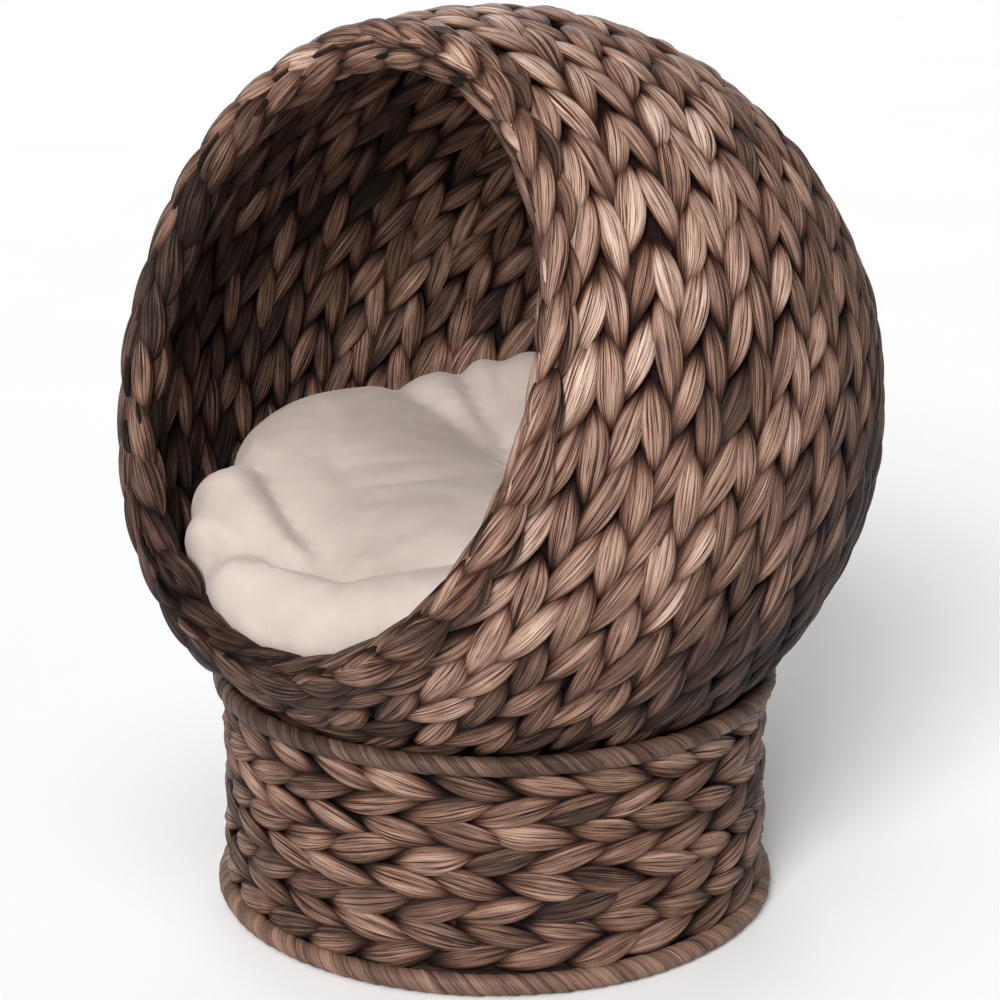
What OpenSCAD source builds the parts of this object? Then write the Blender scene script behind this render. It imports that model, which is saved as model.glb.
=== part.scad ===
// Wicker pet bed: a globe of plaited leaf on a short plaited base, with a loose cushion inside.
// Millimetres, +Z up. The origin is on the base's axis, at floor level. The mouth faces -Y and a little up.

/* [Globe] */
// Outside radius of the globe, over the plaits
globe_r = 215; // [205:1:225]
// Thickness of the plaited wall
wall = 15; // [13:1:17]
// Upward tilt of the mouth, in degrees
mouth_tilt = 19; // [12:1:26]
// Angle from the mouth's axis to the wall's edge at the mouth, in degrees
wall_edge_angle = 52.9; // [52.7:0.1:53.5]
// Number of plait rows from the mouth to the back
globe_rows = 16; // [14:1:16]
// Angle from the mouth's axis to the edge of the back rosette, in degrees
rosette_angle = 173.6; // [172:0.2:175]

/* [Rim] */
// Distance of the rim plait from the mouth's axis
rim_r = 167; // [166.5:0.5:168]
// Distance of the rim plait from the globe's centre, along the mouth's axis
rim_depth = 124.3; // [124:0.1:126]
// Width of the rim plait
rim_w = 21; // [18:1:22]
// Thickness of the rim plait
rim_t = 11.6; // [10:0.2:12]
// Turn of the rim plait's face away from the mouth's plane, in degrees
rim_roll = 17; // [10:1:22]

/* [Base] */
// Outside radius of the base's plaits
base_r = 156; // [154:1:158]
// Radius of the two wrapped rings, at the middle of their wire
ring_r = 155; // [154:0.5:156]
// Height of the top ring's wire
top_ring_z = 130; // [129:0.5:131]
// Radius of the top ring over its wrapping
top_wrap_r = 5.5; // [5:0.1:5.6]
// Radius of the bottom ring over its wrapping
bottom_wrap_r = 6; // [5.5:0.1:6.2]
// Number of plait rows in the base
base_rows = 4; // [3:1:5]

/* [Wire frame] */
// Diameter of the frame's wire
wire_d = 4; // [3:0.2:4]
// Number of ribs in the globe
ribs = 8; // [6:2:10]
// Number of posts in the base
posts = 8; // [6:2:10]

/* [Cushion] */
// Depth of the cushion's top edge below the globe's centre, before the cushion is tilted
cushion_top = 38; // [36:1:60]
// Radius of the cushion's rounded edge
cushion_edge = 34; // [24:1:36]
// Rise of the cushion towards the back, in degrees
cushion_tilt = 9; // [0:1:10]
// Thickness of the cushion's cover
cover_t = 2; // [1:0.5:3]

/* [Hidden] */
$fn = 64;
gap = 0.2;              // clearance between pieces that lie against each other
chamfer = 3;            // softens the corners of the plain plait sections
overcut = 10;           // how far a cutting shape reaches past what it cuts
globe_z = 288;          // height of the globe's centre
row_pitch = (rosette_angle - wall_edge_angle) / globe_rows;
rib_r = globe_r - wall / 2;
wire_r = wire_d / 2;
notch_w = wire_d + 0.8; // width of the notch that lets a wire pass through a plait
notch_r = wire_r + 0.5; // how far that notch reaches past the wire's middle
inner_r = globe_r - wall;
notch_depth = overcut + rib_r + notch_r - inner_r;

// Mouth hoop: just behind the rim plait, on the inner side of the ribs' ends
hoop_angle = 55.25;
hoop_r = rib_r - wire_d - 0.2;

lip_angle = 55.4;       // where the first plait's outer part begins, beside the rim plait
lip_chamfer = 0.3;      // in degrees
shelf_angle = 56.2;     // where its inner part begins, behind the mouth hoop

// Ribs, and the hub that gathers them at the back
hub_r = 9;
hub_gap = 0.6;
rib_start_angle = hoop_angle + 0.05;
rib_end_angle = 180 - asin((hub_r + gap) / rib_r);
rosette_crown = 1;      // rise of the back rosette's middle above its edge

// Base
base_inner_r = base_r - wall;
post_r = base_r - wall / 2;
bottom_ring_z = bottom_wrap_r - 0.4;
row_floor = 2 * bottom_wrap_r + gap;
row_ceiling = top_ring_z - top_wrap_r - 0.3;
base_pitch = (row_ceiling - row_floor) / base_rows;
seat_gap = 0.2;         // between the globe and the seat hoop
seat_r = 147.6;
seat_z = globe_z - sqrt(pow(globe_r + seat_gap + wire_r, 2) - pow(seat_r, 2));
post_foot = bottom_ring_z + sqrt(pow(bottom_wrap_r + gap, 2) - pow(ring_r - post_r - wire_r, 2));
tie_t = 1.8;
tie_w = 8;
tie_arc = 6;            // length of a tie, in degrees round the globe
tie_start = 0.6;        // from the hoop's middle to the tie, in degrees

// Cushion
bowl_gap = 0.8;         // between the cushion and the globe's inner side
bowl_r = inner_r - bowl_gap;
edge_inset = 3;         // keeps the rounded edge clear of the rim plait
edge_reach = bowl_r - cushion_edge - edge_inset;
edge_z = -cushion_top - cushion_edge;
edge_r = sqrt(pow(edge_reach, 2) - pow(edge_z, 2));
edge_angle = asin(edge_r / edge_reach);
dish = 10;              // how far the cushion's middle lies below its edge

wicker = [0.50, 0.40, 0.34];
dark_wicker = [0.36, 0.27, 0.22];
pale_wicker = [0.58, 0.47, 0.40];
black_wire = [0.07, 0.07, 0.08];
plush = [0.82, 0.77, 0.73];
white_fill = [0.93, 0.93, 0.91];

function two_digits(i) = str(i < 10 ? "0" : "", i);
function plait_name(i) = str("globe_plait_", two_digits(i));
function rib_name(i) = str("globe_rib_", i);
function post_name(i) = str("base_post_", i);
function base_plait_name(i) = str("base_plait_", i);

// A point of a half section through the mouth's axis: an angle from the axis and a radius
function polar(a, r) = [r * sin(a), r * cos(a)];

// Puts the mouth's axis on +Z at the globe's centre, then tilts it to face -Y and up
module in_globe() {
    translate([0, 0, globe_z]) rotate([90 - mouth_tilt, 0, 0]) children();
}

// Plain ring that one plait of the globe fills, between two angles from the mouth's axis
module globe_band(a0, a1) {
    c = chamfer / rib_r * 180 / PI;
    rotate_extrude() polygon([
        polar(a0, inner_r + chamfer), polar(a0 + c, inner_r), polar(a1 - c, inner_r),
        polar(a1, inner_r + chamfer), polar(a1, globe_r - chamfer), polar(a1 - c, globe_r),
        polar(a0 + c, globe_r), polar(a0, globe_r - chamfer)]);
}

// Slots on the inner side of the globe's wall, one for each rib
module rib_notches(a, reach) {
    for (i = [0:ribs - 1])
        rotate([0, 0, rib_azimuth(i + 1)]) rotate([0, a, 0])
            translate([-reach / 2, -notch_w / 2, inner_r - overcut])
                cube([reach, notch_w, notch_depth]);
}

function rib_azimuth(i) = (i - 0.5) * 360 / ribs;
function post_azimuth(i) = (i - 0.5) * 360 / posts;
function row_angle(i) = wall_edge_angle + (i - 0.5) * row_pitch;

module rim_plait() {
    color(dark_wicker) in_globe() rotate_extrude()
        translate([rim_r, rim_depth]) rotate(rim_roll) {
            square([rim_w - rim_t, rim_t], center = true);
            for (side = [-1, 1]) translate([side * (rim_w - rim_t) / 2, 0]) circle(d = rim_t);
        }
}

// The first plait is cut back on its mouth side, where the rim plait and the mouth hoop lie
module first_plait() {
    a1 = row_angle(1) + row_pitch / 2 - half_gap();
    c = chamfer / rib_r * 180 / PI;
    rotate_extrude() polygon([
        polar(shelf_angle, inner_r + chamfer), polar(shelf_angle + c, inner_r), polar(a1 - c, inner_r),
        polar(a1, inner_r + chamfer), polar(a1, globe_r - chamfer), polar(a1 - c, globe_r),
        polar(lip_angle + lip_chamfer, globe_r), polar(lip_angle, globe_r - chamfer / 2),
        polar(lip_angle, hoop_r + wire_r + gap), polar(shelf_angle, hoop_r + wire_r + gap)]);
}

function half_gap() = gap / rib_r * 180 / PI;

module globe_plait(i) {
    shade = i % 2 == 0 ? wicker : pale_wicker;
    a = row_angle(i);
    color(shade) in_globe() difference() {
        if (i == 1) first_plait();
        else globe_band(a - row_pitch / 2 + half_gap(), a + row_pitch / 2 - half_gap());
        rib_notches(a, row_pitch * rib_r * PI / 180 + overcut);
    }
}

// Closes the back. An eight-sided pocket and eight slots on its inner side hold the hub and the ribs' ends.
module back_rosette() {
    r = rib_r * sin(180 - rosette_angle) - gap;
    edge = globe_r - rosette_crown;
    color(dark_wicker) in_globe() difference() {
        rotate([180, 0, 0]) rotate_extrude() polygon([
            [0, inner_r], [r - chamfer, inner_r], [r, inner_r + chamfer],
            [r, edge - chamfer], [r - chamfer, edge], [0, globe_r]]);
        rotate([180, 0, 0]) translate([0, 0, inner_r - overcut])
            cylinder(r = hub_r / cos(180 / 8) + hub_gap, h = notch_depth, $fn = 8);
        for (i = [1:ribs / 2]) rotate([180, 0, -rib_azimuth(i)])
            translate([-r - overcut, -notch_w / 2, inner_r - overcut])
                cube([2 * (r + overcut), notch_w, notch_depth]);
    }
}

module mouth_hoop() {
    color(black_wire) in_globe() rotate_extrude() translate(polar(hoop_angle, hoop_r)) circle(d = wire_d);
}

module rib_hub() {
    color(black_wire) in_globe() rotate([180, 0, 0]) translate([0, 0, rib_r - wire_r])
        cylinder(r = hub_r, h = wire_d);
}

module globe_rib(i) {
    color(black_wire) in_globe() rotate([0, 0, rib_azimuth(i)]) rotate([90, 0, 0])
        rotate([0, 0, 90 - rib_end_angle]) rotate_extrude(angle = rib_end_angle - rib_start_angle)
            translate([rib_r, 0]) circle(d = wire_d);
}

module wire_ring(r, z) {
    color(black_wire) translate([0, 0, z]) rotate_extrude() translate([r, 0]) circle(d = wire_d);
}

// Strands wound round a wire ring: a hollow tube, with its underside cut level at the floor
module wrapping(z, wrap_r) {
    color(pale_wicker) rotate_extrude() difference() {
        translate([ring_r, z]) circle(r = wrap_r);
        translate([ring_r, z]) circle(r = wire_r + gap);
        translate([ring_r - overcut, -overcut]) square([2 * overcut, overcut]);
    }
}

module base_top_ring() { wire_ring(ring_r, top_ring_z); }

module base_top_wrap() { wrapping(top_ring_z, top_wrap_r); }

module base_bottom_ring() { wire_ring(ring_r, bottom_ring_z); }

module base_bottom_wrap() { wrapping(bottom_ring_z, bottom_wrap_r); }

module base_plait(i) {
    shade = i % 2 == 0 ? wicker : pale_wicker;
    z0 = row_floor + (i - 1) * base_pitch + gap / 2;
    z1 = row_floor + i * base_pitch - gap / 2;
    color(shade) difference() {
        rotate_extrude() polygon([
            [base_inner_r, z0 + chamfer], [base_inner_r + chamfer, z0], [base_r - chamfer, z0],
            [base_r, z0 + chamfer], [base_r, z1 - chamfer], [base_r - chamfer, z1],
            [base_inner_r + chamfer, z1], [base_inner_r, z1 - chamfer]]);
        for (k = [1:posts]) rotate([0, 0, post_azimuth(k)])
            translate([base_inner_r - overcut, -notch_w / 2, z0 - overcut])
                cube([overcut + post_r + notch_r - base_inner_r, notch_w, base_pitch + 2 * overcut]);
    }
}

module base_post(i) {
    color(black_wire) rotate([0, 0, post_azimuth(i)]) translate([post_r, 0, post_foot])
        cylinder(d = wire_d, h = seat_z - wire_r - gap / 2 - post_foot);
}

module seat_hoop() { wire_ring(seat_r, seat_z); }

// Short strips that lie along the globe's underside and come up to the seat hoop
module seat_ties() {
    top = asin(seat_r / (globe_r + seat_gap + wire_r)) - tie_start;
    r = (globe_r + seat_gap) / cos(tie_arc / 2);
    color(dark_wicker) translate([0, 0, globe_z]) intersection() {
        rotate([180, 0, 0]) rotate_extrude() polygon([
            polar(top, r), polar(top, r + tie_t), polar(top - tie_arc, r + tie_t), polar(top - tie_arc, r)]);
        for (i = [1:posts / 2]) rotate([0, 0, post_azimuth(i) + 180 / posts])
            translate([-globe_r, -tie_w / 2, -globe_r]) cube([2 * globe_r, tie_w, globe_r]);
    }
}

// Half outline of the cushion, moved in by t: the bowl's curve, the round edge, then the dished top
module cushion_outline(t) {
    bowl_steps = 10;
    edge_steps = 10;
    bowl_end = edge_angle - 12;
    polygon(concat(
        [for (k = [0:bowl_steps]) let (a = k / bowl_steps * bowl_end)
            (bowl_r - t) * [sin(a), -cos(a)]],
        [for (k = [0:edge_steps]) let (a = edge_angle - 90 + k / edge_steps * (180 - edge_angle))
            [edge_r, edge_z] + (cushion_edge - t) * [cos(a), sin(a)]],
        [[edge_r / 2, -cushion_top - dish * 0.7 - t], [0, -cushion_top - dish - t]]));
}

module on_cushion_seat() {
    translate([0, 0, globe_z]) rotate([cushion_tilt, 0, 0]) children();
}

module cushion_cover() {
    color(plush) on_cushion_seat() rotate_extrude() difference() {
        cushion_outline(0);
        cushion_outline(cover_t);
    }
}

module cushion_filling() {
    color(white_fill) on_cushion_seat() rotate_extrude() cushion_outline(cover_t + gap / 2);
}

rim_plait();
for (i = [1:globe_rows]) globe_plait(i);
back_rosette();
mouth_hoop();
rib_hub();
for (i = [1:ribs]) globe_rib(i);
base_top_ring();
base_top_wrap();
base_bottom_ring();
base_bottom_wrap();
for (i = [1:base_rows]) base_plait(i);
for (i = [1:posts]) base_post(i);
seat_hoop();
seat_ties();
cushion_cover();
cushion_filling();
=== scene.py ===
"""Wicker pet bed: a plaited globe with a tilted mouth, on a short plaited base, with a plush cushion inside.

Metres, +Z up, in the frame of the CAD model: the base's axis is at X = Y = 0 and the mouth faces -Y.
"""
import math

import bpy
import numpy as np
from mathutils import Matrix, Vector


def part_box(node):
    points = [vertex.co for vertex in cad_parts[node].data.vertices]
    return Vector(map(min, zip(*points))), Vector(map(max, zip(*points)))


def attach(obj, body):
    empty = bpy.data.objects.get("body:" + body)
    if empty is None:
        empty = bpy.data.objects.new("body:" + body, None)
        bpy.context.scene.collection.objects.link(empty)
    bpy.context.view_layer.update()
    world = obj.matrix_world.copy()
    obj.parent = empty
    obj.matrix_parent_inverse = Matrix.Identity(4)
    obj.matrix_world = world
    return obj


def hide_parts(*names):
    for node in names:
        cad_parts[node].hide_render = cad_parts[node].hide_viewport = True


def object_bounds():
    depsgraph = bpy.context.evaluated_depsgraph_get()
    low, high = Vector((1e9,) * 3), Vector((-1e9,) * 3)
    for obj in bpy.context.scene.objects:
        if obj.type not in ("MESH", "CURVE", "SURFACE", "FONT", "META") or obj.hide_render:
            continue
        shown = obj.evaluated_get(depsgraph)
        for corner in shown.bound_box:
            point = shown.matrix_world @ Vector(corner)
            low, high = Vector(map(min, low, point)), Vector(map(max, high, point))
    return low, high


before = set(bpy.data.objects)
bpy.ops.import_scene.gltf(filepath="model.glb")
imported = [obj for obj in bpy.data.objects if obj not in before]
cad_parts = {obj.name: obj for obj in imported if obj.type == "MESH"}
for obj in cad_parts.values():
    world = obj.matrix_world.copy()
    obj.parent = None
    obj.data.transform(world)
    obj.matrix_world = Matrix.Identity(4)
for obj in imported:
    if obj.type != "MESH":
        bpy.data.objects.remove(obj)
cad_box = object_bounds()

MM = 0.001

# Camera: its turn from -Y towards +X and its rise above the horizon in degrees and its distance, all from the
# point it aims at, and its lens in mm
CAMERA_TURN = 49.29
CAMERA_RISE = 16.57
CAMERA_DISTANCE = 1.459
CAMERA_AIM = (0.0145, -0.0085, 0.2327)
CAMERA_LENS = 94.5

# Globe
GLOBE_R = (cad_box[1].x - cad_box[0].x) / 2
GLOBE_Z = cad_box[1].z - GLOBE_R
WALL = 15 * MM
WALL_R = GLOBE_R - WALL / 2
MOUTH_TILT = math.radians(19)
WALL_EDGE = math.radians(52.9)
ROSETTE_EDGE = math.radians(173.6)
GLOBE_ROWS = sum(name.startswith("globe_plait_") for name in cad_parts)
FIRST_EDGE = WALL_EDGE - math.radians(0.5)
ROW_PITCH = (ROSETTE_EDGE - FIRST_EDGE) / GLOBE_ROWS

# Rim plait: where its middle lies in a half section through the mouth's axis, how its face is turned, and
# how strongly it bends back over the wall's edge, as a drop in metres for a square metre of x squared
RIM_R = 167 * MM
RIM_DEPTH = 124.3 * MM
RIM_ROLL = math.radians(17)
RIM_ARCH = 35

# Base
BASE_ROWS = sum(name.startswith("base_plait_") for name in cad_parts)
BASE_MID_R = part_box("base_plait_1")[1].x - WALL / 2
RING_R = (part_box("base_top_wrap")[1].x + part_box("seat_hoop")[1].x) / 2

# Rosette: the radii of the two turns of coil that close the back
COIL_TURN_R = 15 * MM
COIL_EYE_R = 4 * MM

# Seat ties: how many, where they start and end on the globe as angles up from its lowest point, and their
# half width, half thickness and height above the plaits
TIES = 8
TIE_FROM = math.radians(36.2)
TIE_TO = math.radians(42.4)
TIE_HALF_W = 3.8 * MM
TIE_HALF_T = 0.9 * MM
TIE_GAP = 1.2 * MM

# A plait shows two columns of leaf-shaped bights on each face. A size gives a bight's length (long) and half
# width (half_w), the step from one to the next in a column, how far its outer end lies from the middle line
# (column), the height of its ends (deep), the rise of its middle, its half thickness (half_t), and the half
# width and half thickness of the plait's core. core_lift is set where the core can be seen, and takes some of
# the painted shade off it, and an open plait shows its two edges as well, so its lift rises towards them and
# they get less painted shade
GLOBE_PLAIT = {"long": 53 * MM, "half_w": 7.9 * MM, "step": 36 * MM, "column": 12.4 * MM, "deep": 0.7 * MM,
               "rise": 3.0 * MM, "half_t": 3.7 * MM, "core_w": 13.4 * MM, "core_t": 1.0 * MM}
RIM_PLAIT = {"long": 56 * MM, "half_w": 7.4 * MM, "step": 34 * MM, "column": 9.4 * MM, "deep": 0.5 * MM,
             "rise": 2.2 * MM, "half_t": 3.1 * MM, "core_w": 8.0 * MM, "core_t": 2.0 * MM, "core_lift": 0.7,
             "open": True}
BASE_PLAIT = {**GLOBE_PLAIT, "long": 54 * MM, "core_w": 14.8 * MM}
# The core of the lowest row reaches down behind the bottom ring
FOOT_PLAIT = {**BASE_PLAIT, "core_w": 19 * MM, "core_lift": 0.8}
COIL_PLAIT = {"long": 30 * MM, "half_w": 5.6 * MM, "step": 22 * MM, "column": 8.0 * MM, "deep": 0.7 * MM,
              "rise": 2.8 * MM, "half_t": 3.4 * MM, "core_w": 8.4 * MM, "core_t": 1.0 * MM}
EYE_PLAIT = {"long": 15 * MM, "half_w": 3.3 * MM, "step": 9 * MM, "column": 3.6 * MM, "deep": 0.5 * MM,
             "rise": 3.0 * MM, "half_t": 3.0 * MM, "core_w": 4.0 * MM, "core_t": 1.0 * MM}
BIGHT_RINGS = 17
BIGHT_POINTS = 26
CORE_STEP = 8 * MM
CORE_POINTS = 16

# How much the bights of one plait differ: the least and most share of their length, width and thickness, how
# far each may be moved along the plait, sideways and outwards, how far it may be rolled round the roll that
# its column has, and the spread of its tone
LONG_SPREAD = (0.90, 1.17)
WIDE_SPREAD = (0.84, 1.13)
THICK_SPREAD = (0.92, 1.08)
SHIFT_ALONG = 3.5 * MM
SHIFT_ACROSS = 1 * MM
SHIFT_OUT = 0.5 * MM
ROLL_SPREAD = math.radians(11)
COLUMN_ROLL = math.radians(5)
TONE_SPREAD = 0.2
# A bight's shape: its half width at the ends, its thickness there as a share of the most, how far from the
# middle line it stops, how much higher that end lies, how blunt the ends are in width, thickness and height
# (a sine to this power: the lower, the blunter), how full it is, how far it wanders, and how square its
# section is
TIP_HALF_W = 0.25 * MM
TIP_THICKNESS = 0.16
TIP_OFFSET = 0.6 * MM
END_RISE = 0.5 * MM
BLUNT_WIDTH = 0.85
BLUNT_THICKNESS = 0.6
BLUNT_RISE = 0.7
FULLNESS = (0.82, 0.98)
WANDER = 0.07
SECTION = 0.8
# Folds along a bight: how many go round it, and how deep they are as a share of its thickness. Each is that
# deep by a share, twists by up to so many radians over the bight's length, and starts at any angle
RIDGES = ((5, 0.09), (8, 0.08), (11, 0.07))
FOLD_SPREAD = (0.4, 1.5)
FOLD_TWIST = 1.5
ANY_ANGLE = (0, 6.3)
# Most bights have one groove: its depth and width as shares of the thickness and of the half width
GROOVE_DEPTH = 0.20
GROOVE_WIDTH = 0.10
# A core lies in the deepest hollow, where the lift attribute is near 0, so the leaf paints it with the dark
# shade of a hollow
CORE_LIFT = 0.1
CORE_TONE = 0.3

# How far the middle of a row wanders sideways and outwards as it goes round
GLOBE_WAVES = (0.8 * MM, 0.5 * MM)
BASE_WAVES = (0.8 * MM, 0.6 * MM)
RIM_WAVE = 0.5 * MM
# Mean tones of the outer and inner faces, from 0, dark, to 1, pale
RIM_TONES = (0.38, 0.30)
BASE_TONES = (0.85, 0.3)
TIE_TONE = 0.35
# Seeds of the random draws. A row's number is added to those of the globe and the base
GLOBE_SEED, GLOBE_WAVE_SEED = 100, 900
BASE_SEED, BASE_WAVE_SEED = 400, 300
RIM_SEED, RIM_WAVE_SEED = 55, 77


# ---------------------------------------------------------------- node helpers

class Nodes:
    """Short calls for building one material's node tree."""

    def __init__(self, name):
        self.material = bpy.data.materials.new(name)
        self.material.use_nodes = True
        self.tree = self.material.node_tree
        self.tree.nodes.clear()
        self.output = self.tree.nodes.new("ShaderNodeOutputMaterial")
        self.shader = self.tree.nodes.new("ShaderNodeBsdfPrincipled")
        self.link(self.shader.outputs[0], self.output.inputs["Surface"])

    def link(self, source, target):
        self.tree.links.new(source, target)

    def put(self, target, value):
        if isinstance(value, bpy.types.NodeSocket):
            self.link(value, target)
        else:
            target.default_value = value

    def attribute(self, name, output):
        node = self.tree.nodes.new("ShaderNodeAttribute")
        node.attribute_name = name
        return node.outputs[output]

    def object_place(self):
        return self.tree.nodes.new("ShaderNodeTexCoord").outputs["Object"]

    def scaled(self, vector, scale, offset=(0, 0, 0)):
        node = self.tree.nodes.new("ShaderNodeMapping")
        self.link(vector, node.inputs["Vector"])
        node.inputs["Scale"].default_value = scale
        node.inputs["Location"].default_value = offset
        return node.outputs["Vector"]

    def noise(self, vector, scale=1.0, detail=2.0, roughness=0.5, distortion=0.0):
        node = self.tree.nodes.new("ShaderNodeTexNoise")
        self.link(vector, node.inputs["Vector"])
        node.inputs["Scale"].default_value = scale
        node.inputs["Detail"].default_value = detail
        node.inputs["Roughness"].default_value = roughness
        node.inputs["Distortion"].default_value = distortion
        return node.outputs["Fac"]

    def math(self, operation, a, b=0.0, c=0.0):
        node = self.tree.nodes.new("ShaderNodeMath")
        node.operation = operation
        for socket, value in zip(node.inputs, (a, b, c)):
            self.put(socket, value)
        return node.outputs[0]

    def remap(self, value, from_low, from_high, to_low, to_high):
        node = self.tree.nodes.new("ShaderNodeMapRange")
        node.interpolation_type = "SMOOTHSTEP"
        self.link(value, node.inputs["Value"])
        for key, number in (("From Min", from_low), ("From Max", from_high),
                            ("To Min", to_low), ("To Max", to_high)):
            node.inputs[key].default_value = number
        return node.outputs["Result"]

    def ramp(self, value, stops):
        node = self.tree.nodes.new("ShaderNodeValToRGB")
        self.link(value, node.inputs["Fac"])
        elements = node.color_ramp.elements
        while len(elements) < len(stops):
            elements.new(0.5)
        for element, (place, colour) in zip(elements, stops):
            element.position = place
            element.color = (*colour, 1)
        return node.outputs["Color"]

    def multiplied(self, a, b):
        """One colour times another."""
        node = self.tree.nodes.new("ShaderNodeMix")
        node.data_type = "RGBA"
        node.blend_type = "MULTIPLY"
        node.inputs["Factor"].default_value = 1.0
        for key, colour in (("A", a), ("B", b)):
            self.link(colour, next(s for s in node.inputs if s.name == key and s.type == "RGBA"))
        return next(s for s in node.outputs if s.type == "RGBA")

    def mixed(self, level, parts):
        """A level with weighted values added to it."""
        for part, weight in parts:
            level = self.math("MULTIPLY_ADD", part, weight, level)
        return level

    def along(self, vector, way):
        node = self.tree.nodes.new("ShaderNodeVectorMath")
        node.operation = "DOT_PRODUCT"
        self.link(vector, node.inputs[0])
        node.inputs[1].default_value = way
        return node.outputs["Value"]

    def bump(self, height, distance, strength):
        node = self.tree.nodes.new("ShaderNodeBump")
        self.link(height, node.inputs["Height"])
        node.inputs["Distance"].default_value = distance
        node.inputs["Strength"].default_value = strength
        return node.outputs["Normal"]


# ---------------------------------------------------------------- materials

# The leaf's colour by its level, from dark to pale
LEAF_STOPS = [(0.0, (0.014, 0.005, 0.002)), (0.24, (0.074, 0.041, 0.029)), (0.48, (0.235, 0.134, 0.093)),
              (0.72, (0.460, 0.296, 0.220)), (1.0, (0.720, 0.545, 0.445))]
# Noises over the leaf, from the finest: scales per metre along, across and through a strand
HAIR_SCALE = (40, 2000, 2000)
FINE_SCALE = (16, 950, 950)
STRIP_SCALE = (8, 300, 300)
PATCH_SCALE = (30, 45, 45)
# Painted light and shade: leaf is made paler towards the lit side and the top, and darker away from them: the
# way in which it changes, the start and end of the change along that way in metres, and the levels there
PAINTED_LIGHT_WAY = (0.80, -0.40, 1.00)
PAINTED_LIGHT_RANGE = (0.16, 0.62)
PAINTED_LIGHT_LEVELS = (-1.18, -0.78)
# Painted shade: how much a hollow between strands darkens their colour, from its bottom to the open
SHADE_STOPS = [(0.0, (0.035, 0.012, 0.007)), (0.25, (0.200, 0.130, 0.098)), (0.6, (0.570, 0.490, 0.450)),
               (1.0, (1.0, 1.0, 1.0))]
WIRE_STOPS = [(0.35, (0.010, 0.010, 0.011)), (0.75, (0.030, 0.028, 0.027))]
PLUSH_STOPS = [(0.30, (0.43, 0.355, 0.315)), (0.52, (0.52, 0.435, 0.39)), (0.75, (0.60, 0.51, 0.465))]
PLUSH_SHEEN = (0.95, 0.88, 0.82, 1)
FLOOR_STOPS = [(0.3, (0.88, 0.88, 0.88)), (0.7, (0.90, 0.90, 0.90))]


def leaf_material():
    """Dried leaf strands. The fibre attribute is a place in metres along, across and through each strand, so
    the
    streaks follow it: hairs, fine strips, broad strips and, slower still, patches. tone is one value for
    each bight, and lift is 0 in the deepest hollow and 1 in the open. Painted shade darkens the hollows,
    where lift is low, and the dark fibre lines are partly the leaf's own streaks and partly painted shade
    where the bump is low. Painted light and shade make the leaf paler towards the lit side and darker away
    from it."""
    n = Nodes("plaited_leaf")
    fibre = n.attribute("fibre", "Vector")
    tone = n.attribute("tone", "Fac")
    lift = n.attribute("lift", "Fac")
    hair = n.noise(n.scaled(fibre, HAIR_SCALE, (0, 0, 4.4)), detail=2, roughness=0.7)
    fine = n.noise(n.scaled(fibre, FINE_SCALE), detail=3, roughness=0.6)
    strip = n.noise(n.scaled(fibre, STRIP_SCALE, (3.1, 0, 0)), detail=2)
    patch = n.noise(n.scaled(fibre, PATCH_SCALE, (0, 7.7, 0)), detail=2)
    # Painted light and shade: paler towards the lit side and the top, darker away from them
    painted_light = n.remap(n.along(n.object_place(), PAINTED_LIGHT_WAY), *PAINTED_LIGHT_RANGE, *PAINTED_LIGHT_LEVELS)
    level = n.mixed(painted_light, ((tone, 0.55), (strip, 0.40), (fine, 0.50), (hair, 0.75), (patch, 0.65)))
    colour = n.ramp(level, LEAF_STOPS)
    # Dark fibre lines, partly the leaf's own streaks and partly painted shade where the bump is low, then
    # painted shade in the hollows between strands, where lift is low
    crease = n.remap(fine, 0.36, 0.45, 0.15, 1.0)
    thread = n.remap(hair, 0.38, 0.49, 0.35, 1.0)
    painted_hollow_shade = n.remap(lift, 0.50, 1.0, 0.0, 1.0)
    shade = n.math("MULTIPLY", n.math("MULTIPLY", crease, thread), painted_hollow_shade)
    n.put(n.shader.inputs["Base Color"], n.multiplied(colour, n.ramp(shade, SHADE_STOPS)))
    n.put(n.shader.inputs["Roughness"], n.remap(fine, 0.3, 0.7, 0.62, 0.46))
    n.shader.inputs["Specular IOR Level"].default_value = 0.18
    height = n.mixed(fine, ((hair, 0.5), (strip, 1.2)))
    n.put(n.shader.inputs["Normal"], n.bump(height, 1.1 * MM, 0.9))
    return n.material


def wound_material():
    """Fine strands wound round a ring: the same leaf, with painted shade along the seam at the edge of each
    wound strip, where the lift attribute is 0. The dark fibre lines are partly the strands' own streaks and
    partly painted shade where the bump is low."""
    n = Nodes("wound_strand")
    fibre = n.attribute("fibre", "Vector")
    tone = n.attribute("tone", "Fac")
    seam = n.attribute("lift", "Fac")
    fine = n.noise(n.scaled(fibre, (20, 900, 900)), detail=3, roughness=0.65)
    patch = n.noise(n.scaled(fibre, (10, 60, 60), (0, 2.2, 0)), detail=1)
    colour = n.ramp(n.mixed(-0.08, ((tone, 0.45), (fine, 0.62), (patch, 0.16))), LEAF_STOPS)
    # Painted shade along the seams, and dark fibre lines, partly streaks and partly painted shade where the
    # bump is low
    shade = n.math("MULTIPLY", n.remap(fine, 0.34, 0.46, 0.35, 1.0), n.remap(seam, 0.0, 0.35, 0.25, 1.0))
    n.put(n.shader.inputs["Base Color"], n.multiplied(colour, n.ramp(shade, SHADE_STOPS)))
    n.shader.inputs["Roughness"].default_value = 0.5
    n.shader.inputs["Specular IOR Level"].default_value = 0.25
    n.put(n.shader.inputs["Normal"], n.bump(fine, 0.7 * MM, 0.8))
    return n.material


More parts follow.
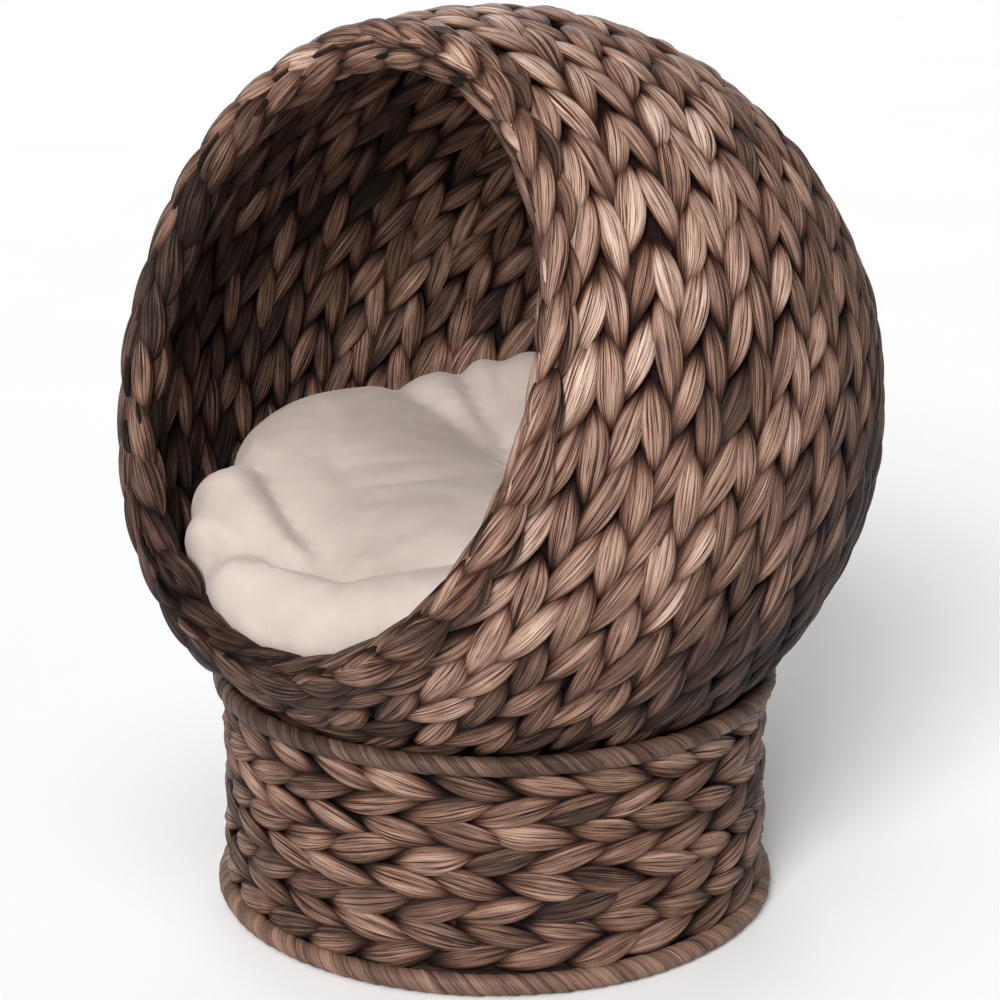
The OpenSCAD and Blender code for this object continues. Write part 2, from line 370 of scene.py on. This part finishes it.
def wire_material():
    """Black paint on steel wire, a little uneven and scuffed."""
    n = Nodes("black_wire")
    place = n.object_place()
    speckle = n.noise(place, scale=900, detail=2)
    cloud = n.noise(place, scale=60, detail=2)
    n.put(n.shader.inputs["Base Color"], n.ramp(cloud, WIRE_STOPS))
    n.put(n.shader.inputs["Roughness"], n.remap(cloud, 0.3, 0.7, 0.30, 0.48))
    n.put(n.shader.inputs["Normal"], n.bump(speckle, 0.08 * MM, 0.5))
    return n.material


def plush_material():
    """Short-pile plush: soft clouding where the pile lies one way or the other, and a faint nap."""
    n = Nodes("plush")
    place = n.object_place()
    cloud = n.noise(place, scale=22, detail=3, roughness=0.55, distortion=0.4)
    pile = n.noise(place, scale=1400, detail=2, roughness=0.7)
    level = n.math("MULTIPLY_ADD", pile, 0.25, n.math("MULTIPLY", cloud, 0.75))
    n.put(n.shader.inputs["Base Color"], n.ramp(level, PLUSH_STOPS))
    n.shader.inputs["Roughness"].default_value = 0.85
    n.shader.inputs["Specular IOR Level"].default_value = 0.2
    n.shader.inputs["Sheen Weight"].default_value = 0.35
    n.shader.inputs["Sheen Roughness"].default_value = 0.4
    n.shader.inputs["Sheen Tint"].default_value = PLUSH_SHEEN
    n.put(n.shader.inputs["Normal"], n.bump(level, 0.5 * MM, 0.5))
    return n.material


# ---------------------------------------------------------------- mesh helpers

def tube_mesh(name, tubes, material, flip):
    """Joins tubes into one piece. Each entry is (points, fibre, tone, lift, closed): points and fibre are
    arrays (tube, ring, point, xyz), tone and lift are (tube, ring, point), and a closed tube joins up end to
    end where an open one has end caps. flip turns the faces inside out."""
    places, fibres, tones, lifts, quads, caps = [], [], [], [], [], []
    used = 0
    for points, fibre, tone, lift, closed in tubes:
        count, rings, around, _ = points.shape
        index = used + np.arange(count * rings * around).reshape(count, rings, around)
        used += index.size
        right = np.roll(index, -1, axis=2)
        ahead = np.roll(index, -1, axis=1)
        across = np.roll(right, -1, axis=1)
        strip = np.stack([index, right, across, ahead], axis=-1)
        if not closed:
            strip = strip[:, :-1]
            ends = np.concatenate([index[:, 0, ::-1], index[:, -1]])
            caps += list(ends[:, ::-1] if flip else ends)
        quads.append((strip[..., ::-1] if flip else strip).reshape(-1, 4))
        places.append(points.reshape(-1, 3))
        fibres.append(fibre.reshape(-1, 3))
        tones.append(tone.ravel())
        lifts.append(lift.ravel())
    quads = np.concatenate(quads)
    sizes = [4] * len(quads) + [len(cap) for cap in caps]
    corners = np.concatenate([quads.ravel()] + caps).astype(np.int32)
    mesh = bpy.data.meshes.new(name)
    mesh.vertices.add(used)
    mesh.vertices.foreach_set("co", np.concatenate(places).astype(np.float32).ravel())
    mesh.loops.add(len(corners))
    mesh.loops.foreach_set("vertex_index", corners)
    mesh.polygons.add(len(sizes))
    mesh.polygons.foreach_set("loop_start", np.cumsum([0] + sizes[:-1]).astype(np.int32))
    mesh.polygons.foreach_set("use_smooth", np.ones(len(sizes), bool))
    mesh.update(calc_edges=True)
    mesh.attributes.new("fibre", "FLOAT_VECTOR", "POINT").data.foreach_set(
        "vector", np.concatenate(fibres).astype(np.float32).ravel())
    for key, values in (("tone", tones), ("lift", lifts)):
        mesh.attributes.new(key, "FLOAT", "POINT").data.foreach_set(
            "value", np.concatenate(values).astype(np.float32))
    mesh.materials.append(material)
    piece = bpy.data.objects.new(name, mesh)
    bpy.context.scene.collection.objects.link(piece)
    return piece


def smooth(x):
    """0 up to x = 0, 1 from x = 1 on, with a soft step between."""
    x = np.clip(x, 0, 1)
    return x * x * (3 - 2 * x)


def squared(x, power):
    """A sine or cosine that makes a section squarer, by a power below 1."""
    return np.sign(x) * np.abs(x) ** power


def circle(points):
    """The angles of a tube's points, ready to be combined with (tube, ring) values."""
    return (np.arange(points) * 2 * np.pi / points)[None, None, :]


# ---------------------------------------------------------------- plaits

def bights(rng, place, length, size, face, side, way, phase, tone_mean):
    """One column of leaf-shaped bights on one face of a plait. Each starts at the plait's edge and ends in
    a point at its middle line, where it goes under the next bight of the other column."""
    count = round(length / size["step"])

    def spread(low, high):
        return rng.uniform(low, high, (count, 1, 1))

    # The middle line, half width and half thickness of each bight, from its outer end at u = 0
    u = np.linspace(0, 1, BIGHT_RINGS)[None, :, None]
    number = np.arange(count)[:, None, None] + (0.5 if side < 0 else 0) + phase
    long = size["long"] * spread(*LONG_SPREAD)
    s = number * length / count + spread(-SHIFT_ALONG, SHIFT_ALONG) + way * face * long * (u - 0.5)
    leaf = np.maximum(np.sin(np.pi * u ** spread(*FULLNESS)), 0)
    half_w = size["half_w"] * spread(*WIDE_SPREAD) * leaf ** BLUNT_WIDTH + TIP_HALF_W
    thickness = TIP_THICKNESS + (1 - TIP_THICKNESS) * leaf ** BLUNT_THICKNESS
    half_t = size["half_t"] * spread(*THICK_SPREAD) * thickness
    outward = 1 - u + spread(-WANDER, WANDER) * np.sin(2 * np.pi * u)
    x = side * (TIP_OFFSET + (size["column"] - TIP_OFFSET) * outward) + spread(-SHIFT_ACROSS, SHIFT_ACROSS)
    z = size["deep"] + size["rise"] * leaf ** BLUNT_RISE
    z = z + spread(-SHIFT_OUT, SHIFT_OUT) + END_RISE * (u - 0.5)

    # The section, with its folds and groove, rolled and set on the middle line
    psi = circle(BIGHT_POINTS)
    across = np.cos(psi)
    roll = spread(-ROLL_SPREAD, ROLL_SPREAD) + side * COLUMN_ROLL
    folds = sum(share * spread(*FOLD_SPREAD) * np.cos(m * psi + spread(-FOLD_TWIST, FOLD_TWIST) * u
                                                      + spread(*ANY_ANGLE)) for m, share in RIDGES)
    groove = spread(-0.5, 1) * GROOVE_DEPTH * np.exp(-((across - spread(-0.5, 0.5)) / GROOVE_WIDTH) ** 2)
    through = squared(np.sin(psi), SECTION) * (1 + folds - np.maximum(groove, 0))
    dx = half_w * across * np.cos(roll) - half_t * through * np.sin(roll)
    dz = half_t * through * np.cos(roll) + half_w * across * np.sin(roll)
    slope = size["column"] * side * way * face / long
    fibre = [long * u + spread(0, 5), size["half_w"] * across + spread(0, 1), size["half_t"] * np.sin(psi)]
    tone = np.clip(tone_mean + TONE_SPREAD * rng.standard_normal((count, 1, 1)), 0, 1)
    s, x, z, *fibre = np.broadcast_arrays(s + dx * slope, x + dx, face * (z + dz), *fibre)

    # Rings in the order of s, and points one way round, so that every bight's faces look out
    rings = slice(None, None, -1 if face * way < 0 else 1)
    points = slice(None, None, face)
    s, x, z, *fibre = (values[:, rings, points] for values in (s, x, z, *fibre))
    # lift: how far a point stands out of the plait; the leaf's painted shade darkens it where this is low
    lift = np.abs(z) / (size["deep"] + size["rise"] + size["half_t"])
    if size.get("open"):
        lift = np.maximum(lift, np.abs(x) / (size["column"] + 0.8 * size["half_w"]))
    fibre = np.stack(fibre, axis=-1)
    return place(s, x, z), fibre, np.broadcast_to(tone, s.shape), np.clip(lift, 0, 1), False


def core(place, length, size):
    """The flat inside of a plait, seen only down the gaps between its bights."""
    count = int(length / CORE_STEP)
    s = (np.arange(count) / count * length)[None, :, None]
    psi = circle(CORE_POINTS)
    s, x, z = np.broadcast_arrays(s, size["core_w"] * squared(np.cos(psi), 0.4),
                                  size["core_t"] * squared(np.sin(psi), 0.6))
    fibre = np.stack([s, x, z], axis=-1)
    lift = size.get("core_lift", CORE_LIFT)
    return place(s, x, z), fibre, np.full(s.shape, CORE_TONE), np.full(s.shape, lift), True


def plait(name, place, length, size, material, seed, flip=False, way=1, tones=(0.5, 0.3)):
    """A closed plait. place(s, x, z) bends the flat plait into position: s runs along it, x sideways and
    z out of its face. way is the direction along s in which the points of its outer face's bights show.
    tones are the mean tones of its outer and inner faces."""
    rng = np.random.default_rng(seed)
    phase = rng.uniform(0, 1)
    tubes = [core(place, length, size)]
    tubes += [bights(rng, place, length, size, face, side, way, phase + 0.25 * (face < 0), tone)
              for face, tone in zip((1, -1), tones) for side in (1, -1)]
    return tube_mesh(name, tubes, material, flip)


def tilted(x, y, z, angle):
    """Turns points about the X axis and sets them on the globe's middle."""
    c, s = math.cos(angle), math.sin(angle)
    return np.stack([x, y * c - z * s, y * s + z * c + GLOBE_Z], axis=-1)


def from_mouth(radius, turn, depth):
    """From the globe's own frame, where the mouth's axis is +Z, to the model's frame."""
    return tilted(radius * np.cos(turn), radius * np.sin(turn), depth, math.pi / 2 - MOUTH_TILT)


def wobble(rng, angle, size):
    """A slow random wave round a closed row."""
    waves = sum(rng.uniform(-1, 1) * np.cos(k * angle + rng.uniform(*ANY_ANGLE)) for k in (2, 3, 5, 8))
    return size * waves / 2


def globe_tones_with_painted_light(number):
    """Mean tones of a row's outer and inner faces, with painted light and shade in them: outside, rows are
    darkened as painted shade from the second to the tenth, where they turn away from the light, and made pale
    again at the back as painted light; inside, rows are made paler towards the back as painted light."""
    outer = 0.64 - 0.60 * smooth((number - 2) / 8) + 0.50 * smooth((number - 10) / 5)
    inner = 0.38 + 0.46 * smooth((number - 3) / 6)
    return float(outer), float(inner)


def globe_row(number, material):
    angle = FIRST_EDGE + (number - 0.5) * ROW_PITCH
    length = 2 * np.pi * WALL_R * math.sin(angle)

    def place(s, x, z):
        rng = np.random.default_rng(GLOBE_WAVE_SEED + number)
        turn = s / length * 2 * np.pi - np.pi / 2
        polar = angle + (x + wobble(rng, turn, GLOBE_WAVES[0])) / WALL_R
        r = WALL_R + z + wobble(rng, turn, GLOBE_WAVES[1])
        return from_mouth(r * np.sin(polar), turn, r * np.cos(polar))

    name = f"globe_plait_{number:02d}"
    piece = plait(name + "_strands", place, length, GLOBE_PLAIT, material, GLOBE_SEED + number, flip=True,
                  way=-1, tones=globe_tones_with_painted_light(number))
    finish_piece(piece, "basket", "plaited_leaf", name)


def coil_end(part, radius, size, seed, material):
    """A turn of the small coil that closes the globe's back."""
    length = 2 * np.pi * radius

    def place(s, x, z):
        turn = s / length * 2 * np.pi
        polar = np.pi - (radius - x) / WALL_R
        r = WALL_R + z
        return from_mouth(r * np.sin(polar), turn, r * np.cos(polar))

    piece = plait("back_rosette_" + part, place, length, size, material, seed, flip=True, way=-1)
    finish_piece(piece, "basket", "plaited_leaf", "back_rosette")


def seat_tie_strips(material):
    """Short strips that lash the globe to the hoop in the base."""
    u = np.linspace(0, 1, 9)[None, :, None]
    psi = circle(12)
    turn = (np.arange(TIES) * 2 * np.pi / TIES)[:, None, None]
    across = TIE_HALF_W * np.cos(psi) * (0.75 + 0.25 * np.sin(np.pi * u))
    r = GLOBE_R + TIE_GAP + TIE_HALF_T * np.sin(psi)
    angle = TIE_FROM + (TIE_TO - TIE_FROM) * u
    out = r * np.sin(angle)
    points = np.stack(np.broadcast_arrays(out * np.cos(turn) - across * np.sin(turn),
                                          out * np.sin(turn) + across * np.cos(turn),
                                          GLOBE_Z - r * np.cos(angle)), axis=-1)
    fibre = np.stack(np.broadcast_arrays(u * 25 * MM + turn, across, r * 0), axis=-1)
    full = np.ones(points.shape[:3])
    strips = (points, fibre, TIE_TONE * full, 0.8 * full, False)
    piece = tube_mesh("seat_tie_strips", [strips], material, False)
    finish_piece(piece, "basket", "wound_strand", "seat_ties")


def rim_row(material):
    length = 2 * np.pi * RIM_R

    def place(s, x, z):
        rng = np.random.default_rng(RIM_WAVE_SEED)
        turn = s / length * 2 * np.pi - np.pi / 2
        z = z + wobble(rng, turn, RIM_WAVE) - RIM_ARCH * x * x
        radius = RIM_R + x * math.cos(RIM_ROLL) - z * math.sin(RIM_ROLL)
        depth = RIM_DEPTH + x * math.sin(RIM_ROLL) + z * math.cos(RIM_ROLL)
        return from_mouth(radius, turn, depth)

    piece = plait("rim_plait_strands", place, length, RIM_PLAIT, material, RIM_SEED, flip=True, way=-1,
                  tones=RIM_TONES)
    finish_piece(piece, "basket", "plaited_leaf", "rim_plait")


def base_row(number, material):
    low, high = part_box(f"base_plait_{number}")
    middle = (low.z + high.z) / 2
    length = 2 * np.pi * BASE_MID_R

    def place(s, x, z):
        rng = np.random.default_rng(BASE_WAVE_SEED + number)
        turn = s / length * 2 * np.pi + np.pi / 2
        r = BASE_MID_R + z + wobble(rng, turn, BASE_WAVES[1])
        up = middle + x + wobble(rng, turn, BASE_WAVES[0])
        return np.stack([r * np.cos(turn), r * np.sin(turn), up], axis=-1)

    name = f"base_plait_{number}"
    size = FOOT_PLAIT if number == 1 else BASE_PLAIT
    piece = plait(name + "_strands", place, length, size, material, BASE_SEED + number, tones=BASE_TONES)
    finish_piece(piece, "basket", "plaited_leaf", name)


def finish_piece(piece, body, slot, *replaced):
    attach(piece, body)
    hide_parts(*replaced)


# ---------------------------------------------------------------- wound rings

# The wound strips: the width of one along the ring, how many of them one turn round the wire moves on by, the
# strands in one, how far a strand and a strip's lapping edge stand out, how much strips differ in height, and
# how far the lowest lie below the wrapping's outside
WIND_PITCH = 9.5 * MM
WIND_STARTS = 3
WIND_STRANDS = 6.5
STRAND_RISE = 0.25 * MM
LAP_RISE = 0.55 * MM
STRIP_SPREAD = 0.25 * MM
WRAP_DEPTH = 1.0 * MM
WIND_STEP = 0.9 * MM
WIND_POINTS = 36
# Each wrapping: its radius, its seed, and the least and most tone of a strip. The top wrapping's tones are
# set lower as painted shade, where the globe above shades it
WRAPS = {"base_top_wrap": (5.9 * MM, 21, (-0.35, 0.15)), "base_bottom_wrap": (6.3 * MM, 22, (0.0, 0.4))}


def wound_ring(node, material):
    """Strips of fine strand wound round a ring, each lapping over the edge of the one before."""
    tube_r, seed, tones = WRAPS[node]
    rng = np.random.default_rng(seed)
    low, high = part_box(node)
    middle = (low.z + high.z) / 2
    length = 2 * np.pi * RING_R
    strips = round(length / WIND_PITCH)
    count = int(length / WIND_STEP)
    psi = np.arange(WIND_POINTS) * 2 * np.pi / WIND_POINTS
    share = np.arange(count)[:, None] / count
    helix = share * strips + WIND_STARTS * psi / (2 * np.pi)
    k = np.floor(helix).astype(int)
    part = helix - k
    seam = smooth(part / 0.10) * smooth((1 - part) / 0.06)
    strands = np.abs(np.sin(helix * np.pi * WIND_STRANDS + rng.uniform(0, 3)))
    strip_rise = rng.uniform(-STRIP_SPREAD, STRIP_SPREAD, strips)
    radius = tube_r - WRAP_DEPTH + strip_rise[k % strips] + (LAP_RISE * part + STRAND_RISE * strands) * seam
    radius = radius + wobble(rng, share * 2 * np.pi, STRIP_SPREAD)
    turn = share * 2 * np.pi + np.pi / 2
    r = RING_R - radius * np.cos(psi)
    z = np.maximum(middle - radius * np.sin(psi), low.z)
    rings = np.stack([r * np.cos(turn), r * np.sin(turn), z], axis=-1)
    fibre = np.stack([psi * tube_r + k * 0.7, helix * WIND_PITCH, 0 * helix], axis=-1)
    # A random tone for each strip; the top wrapping's range is set lower as painted shade
    tone = rng.uniform(*tones, strips)[k % strips]
    piece = tube_mesh(node + "_strips", [(rings[None], fibre[None], tone, seam, True)], material, False)
    finish_piece(piece, "basket", "wound_strand", node)


# ---------------------------------------------------------------- cushion

# The pad before it is filled: its tilt, the radii of the bowl that it lies in and of its edge, how far its
# top dips in the middle, how much smaller it starts, and how far its top lies below the globe's middle
CUSHION_TILT = math.radians(9)
BOWL_R = WALL_R - WALL / 2 - 1.2 * MM
CUSHION_EDGE = 34 * MM
CUSHION_DISH = 10 * MM
CUSHION_SHRINK = 1 * MM
CUSHION_TOP = 38 * MM
# Points round the pad, and from its lowest point to its edge, round its edge, and over its top
CUSHION_POINTS = 220
CUSHION_RINGS = (26, 22, 46)
CUSHION_VOXEL = 4 * MM
CUSHION_SMOOTHING = 6
# Creases are pressed in no deeper than the limit. While the pad is filled, points this close to a crease are
# held, if they lie above TOP_FROM_Z
CREASE_LIMIT = 14 * MM
CREASE_HELD = 4.5 * MM
TOP_FROM_Z = 0.18
# The cloth: what lies this close to the bowl is held too, and no point moves further than the reach
BOWL_HELD = 2.5 * MM
CLOTH_FRAMES = 20
CLOTH_REACH = 22 * MM
CLOTH = {"quality": 6, "mass": 0.25, "tension_stiffness": 12, "compression_stiffness": 12,
         "shear_stiffness": 5, "bending_stiffness": 0.4, "use_pressure": True, "uniform_pressure_force": 4}

# Creases in the cushion's top: points (x, y) in mm from above, then depth and half width in mm
CREASES = [
    ([(-158, -66), (-137, -79), (-105, -85), (-80, -95), (-36, -108), (-9, -114), (31, -126)], 10, 7),
    ([(-165, -84), (-149, -91), (-118, -96)], 6, 6),
    ([(-128, -120), (-100, -124), (-70, -131), (-44, -129), (-13, -131)], 7, 8),
    ([(-96, -150), (-60, -146), (-44, -138), (-18, -131), (26, -122), (47, -97), (62, -76), (100, -40)],
     12, 8),
    ([(-158, 96), (-128, 84), (-98, 70), (-69, 57), (-37, 45)], 9, 7),
    ([(-132, 120), (-97, 89), (-74, 73), (-51, 58)], 7, 7),
    ([(-157, 52), (-133, 46), (-97, 47), (-60, 40), (-28, 37)], 7, 8),
    ([(150, 60), (120, 52), (88, 50), (60, 40)], 8, 7),
    ([(60, 150), (52, 122), (48, 96)], 8, 7),
    ([(118, 118), (96, 92), (70, 66)], 7, 6),
]
# Lumps and hollows: middle (x, y) in mm, radius, and rise in mm
LUMPS = [((-118, 112), 50, 11), ((-160, -20), 60, 15), ((-112, -118), 50, 13), ((-20, 150), 50, 6),
         ((130, 60), 60, 5), ((10, 25), 75, -8), ((-40, -165), 45, -4), ((20, -150), 60, -8),
         ((110, -110), 50, -4)]


def near_line(points, line):
    """Distance in plan from each point to a polyline."""
    best = np.full(len(points), 1e9)
    for start, end in zip(line[:-1], line[1:]):
        start, end = np.array(start) * MM, np.array(end) * MM
        along = end - start
        share = np.clip((points[:, :2] - start) @ along / (along @ along), 0, 1)
        best = np.minimum(best, np.linalg.norm(points[:, :2] - start - share[:, None] * along, axis=1))
    return best


def cushion_form():
    """The cushion before it is filled: a plain round pad in the globe's bowl, tilted up at the back. Gives
    points as a grid (ring, point, xyz), from the lowest point to the crown."""
    below, round_edge, over = CUSHION_RINGS
    edge_z = -CUSHION_TOP - CUSHION_EDGE
    reach = BOWL_R - CUSHION_EDGE - CUSHION_SHRINK
    edge_r = math.sqrt(reach ** 2 - edge_z ** 2)
    turn = math.asin(edge_r / reach)
    profile = [(BOWL_R * math.sin(a), -BOWL_R * math.cos(a)) for a in np.linspace(0.01, turn - 0.2, below)]
    edge = CUSHION_EDGE - CUSHION_SHRINK
    profile += [(edge_r + edge * math.cos(a), edge_z + edge * math.sin(a))
                for a in np.linspace(turn - math.pi / 2, math.pi / 2, round_edge)]
    profile += [(edge_r * (1 - f), -CUSHION_TOP - CUSHION_SHRINK - CUSHION_DISH * (1 - (1 - f) ** 2))
                for f in np.linspace(0, 0.995, over)[1:]]
    profile = np.array(profile)
    around = np.arange(CUSHION_POINTS) * 2 * np.pi / CUSHION_POINTS
    return tilted(profile[:, :1] * np.cos(around), profile[:, :1] * np.sin(around),
                  np.repeat(profile[:, 1:], CUSHION_POINTS, axis=1), CUSHION_TILT)


def mesh_points(mesh):
    points = np.empty(len(mesh.vertices) * 3)
    mesh.vertices.foreach_get("co", points)
    return points.reshape(-1, 3)


def set_points(mesh, points):
    mesh.vertices.foreach_set("co", points.ravel())
    mesh.update()


def sheet_mesh(name, grid):
    """A closed form from a grid of rings, capped at both ends."""
    rows, columns, _ = grid.shape
    index = np.arange(rows * columns).reshape(rows, columns)
    right = np.roll(index, -1, axis=1)
    quads = np.stack([index[:-1], right[:-1], right[1:], index[1:]], axis=-1).reshape(-1, 4)
    faces = quads.tolist() + [index[0, ::-1].tolist(), index[-1].tolist()]
    mesh = bpy.data.meshes.new(name)
    mesh.from_pydata(grid.reshape(-1, 3).tolist(), [], faces)
    return mesh


def keep_in_bowl(points):
    """Pulls points back inside the globe's inner side."""
    centre = np.array([0, 0, GLOBE_Z])
    away = points - centre
    reach = np.linalg.norm(away, axis=1, keepdims=True)
    return centre + away * np.minimum(1, BOWL_R / reach)


def lump(points, at, radius, height):
    """How far a lump raises each point."""
    away = points[:, :2] - np.array(at) * MM
    return height * MM * np.exp(-np.sum(away ** 2, axis=1) / (radius * MM) ** 2)


def crease(points, line, depth, half):
    """How far a crease presses each point in."""
    return depth * MM * np.exp(-(near_line(points, line) / (half * MM)) ** 2)


def shape_cushion(mesh):
    """Raises the lumps and presses in the creases of the cushion's upper side."""
    points = mesh_points(mesh)
    normals = np.array([v.normal for v in mesh.vertices])
    upper = smooth((normals[:, 2] + 0.45) / 0.7)
    rise = sum(lump(points, *values) for values in LUMPS)
    pressed = sum(crease(points, *values) for values in CREASES)
    points = points + (normals * 0.65 + np.array([0, 0, 0.35])) * (rise * upper)[:, None]
    points = points - normals * (np.minimum(pressed, CREASE_LIMIT) * upper)[:, None]
    set_points(mesh, keep_in_bowl(points))


def cushion_piece(material):
    mesh = sheet_mesh("cushion", cushion_form())
    shape_cushion(mesh)
    piece = bpy.data.objects.new("cushion", mesh)
    bpy.context.scene.collection.objects.link(piece)
    remesh = piece.modifiers.new("even", "REMESH")
    remesh.mode = "VOXEL"
    remesh.voxel_size = CUSHION_VOXEL
    apply_modifiers(piece)
    fill_cushion(piece)
    set_points(piece.data, keep_in_bowl(mesh_points(piece.data)))
    even = piece.modifiers.new("even", "SMOOTH")
    even.factor = 0.5
    even.iterations = CUSHION_SMOOTHING
    smoother = piece.modifiers.new("finer", "SUBSURF")
    smoother.levels = smoother.render_levels = 1
    apply_modifiers(piece)
    piece.data.shade_smooth()
    piece.data.materials.clear()
    piece.data.materials.append(material)
    return piece


def evaluated(piece):
    return piece.evaluated_get(bpy.context.evaluated_depsgraph_get())


def apply_modifiers(piece):
    piece.data = bpy.data.meshes.new_from_object(evaluated(piece))
    piece.modifiers.clear()


def fill_cushion(piece):
    """Blows the cushion up as cloth. Its creases and its underside are held."""
    start = mesh_points(piece.data)
    held = np.linalg.norm(start - np.array([0, 0, GLOBE_Z]), axis=1) > BOWL_R - BOWL_HELD
    for line, _, _ in CREASES:
        held |= (start[:, 2] > TOP_FROM_Z) & (near_line(start, line) < CREASE_HELD)
    group = piece.vertex_groups.new(name="held")
    group.add(np.flatnonzero(held).tolist(), 1.0, "REPLACE")
    cloth = piece.modifiers.new("cloth", "CLOTH")
    for key, value in CLOTH.items():
        setattr(cloth.settings, key, value)
    cloth.settings.vertex_group_mass = "held"
    cloth.settings.effector_weights.gravity = 0
    cloth.collision_settings.use_collision = False
    cloth.point_cache.frame_start = 1
    cloth.point_cache.frame_end = CLOTH_FRAMES
    scene = bpy.context.scene
    for step in range(1, CLOTH_FRAMES + 1):
        scene.frame_set(step)
    move = mesh_points(evaluated(piece).data) - start
    piece.modifiers.clear()
    scene.frame_set(1)
    size = np.linalg.norm(move, axis=1, keepdims=True)
    set_points(piece.data, start + move * np.minimum(1, CLOTH_REACH / np.maximum(size, 1e-9)))


# ---------------------------------------------------------------- scene

# The room's brightness, and the heights between which it changes, as the Z of a direction into the room
WALL_GLOW = 0.80
CEILING_GLOW = 0.05
WALL_TOP = 0.15
CEILING_EDGE = 0.55
FLOOR_SIZE = 40
FLOOR_GAP = 0.5 * MM
# Each light: turn and rise in degrees as for the camera, the angle it spreads over, and its strength
LIGHTS = {"key": (32, 33, 26, 3.3), "top": (40, 75, 40, 0.9), "back": (232, 20, 40, 1.0)}


def direction(turn, rise):
    turn, rise = math.radians(turn), math.radians(rise)
    return Vector((math.sin(turn) * math.cos(rise), -math.cos(turn) * math.cos(rise), math.sin(rise)))


def add_camera():
    camera = bpy.data.objects.new("camera", bpy.data.cameras.new("camera"))
    camera.data.lens = CAMERA_LENS
    back = direction(CAMERA_TURN, CAMERA_RISE)
    camera.location = Vector(CAMERA_AIM) + back * CAMERA_DISTANCE
    camera.rotation_euler = back.to_track_quat("Z", "Y").to_euler()
    bpy.context.scene.collection.objects.link(camera)
    bpy.context.scene.camera = camera


def add_light(name, turn, rise, spread, strength):
    """A distant soft light, so that the floor is lit evenly."""
    lamp = bpy.data.lights.new(name, "SUN")
    lamp.angle = math.radians(spread)
    lamp.energy = strength
    light = bpy.data.objects.new(name, lamp)
    light.rotation_euler = direction(turn, rise).to_track_quat("Z", "Y").to_euler()
    bpy.context.scene.collection.objects.link(light)


def add_room():
    """Pale walls and a dim ceiling, as a change of the world's brightness with height."""
    world = bpy.data.worlds.new("studio")
    world.use_nodes = True
    tree = world.node_tree
    shade = tree.nodes["Background"]
    shade.inputs["Color"].default_value = (1, 1, 1, 1)
    parts = tree.nodes.new("ShaderNodeSeparateXYZ")
    tree.links.new(tree.nodes.new("ShaderNodeTexCoord").outputs["Generated"], parts.inputs[0])
    walls = tree.nodes.new("ShaderNodeMapRange")
    walls.interpolation_type = "SMOOTHSTEP"
    tree.links.new(parts.outputs["Z"], walls.inputs["Value"])
    for key, number in (("From Min", WALL_TOP), ("From Max", CEILING_EDGE),
                        ("To Min", WALL_GLOW), ("To Max", CEILING_GLOW)):
        walls.inputs[key].default_value = number
    tree.links.new(walls.outputs["Result"], shade.inputs["Strength"])
    bpy.context.scene.world = world


def add_floor():
    bpy.ops.mesh.primitive_plane_add(size=FLOOR_SIZE, location=(0, 0, cad_box[0].z - FLOOR_GAP))
    floor = bpy.context.object
    floor.name = "floor"
    n = Nodes("floor")
    n.put(n.shader.inputs["Base Color"], n.ramp(n.noise(n.object_place(), scale=3), FLOOR_STOPS))
    n.shader.inputs["Roughness"].default_value = 0.9
    floor.data.materials.append(n.material)


def dress_wires(material):
    """Gives the CAD nodes that are still seen their material."""
    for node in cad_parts.values():
        if not node.hide_render:
            node.data.materials.clear()
            node.data.materials.append(material)


add_camera()
add_floor()
add_room()
bpy.context.scene.view_settings.view_transform = "Standard"
for name, light in LIGHTS.items():
    add_light(name, *light)

leaf = leaf_material()
wound = wound_material()

rim_row(leaf)
for number in range(1, GLOBE_ROWS + 1):
    globe_row(number, leaf)
for number in range(1, BASE_ROWS + 1):
    base_row(number, leaf)
coil_end("turn", COIL_TURN_R, COIL_PLAIT, 31, leaf)
coil_end("eye", COIL_EYE_R, EYE_PLAIT, 32, leaf)
seat_tie_strips(leaf)
for ring in WRAPS:
    wound_ring(ring, wound)

cushion = cushion_piece(plush_material())
finish_piece(cushion, "cushion", "plush", "cushion_cover", "cushion_filling")

dress_wires(wire_material())
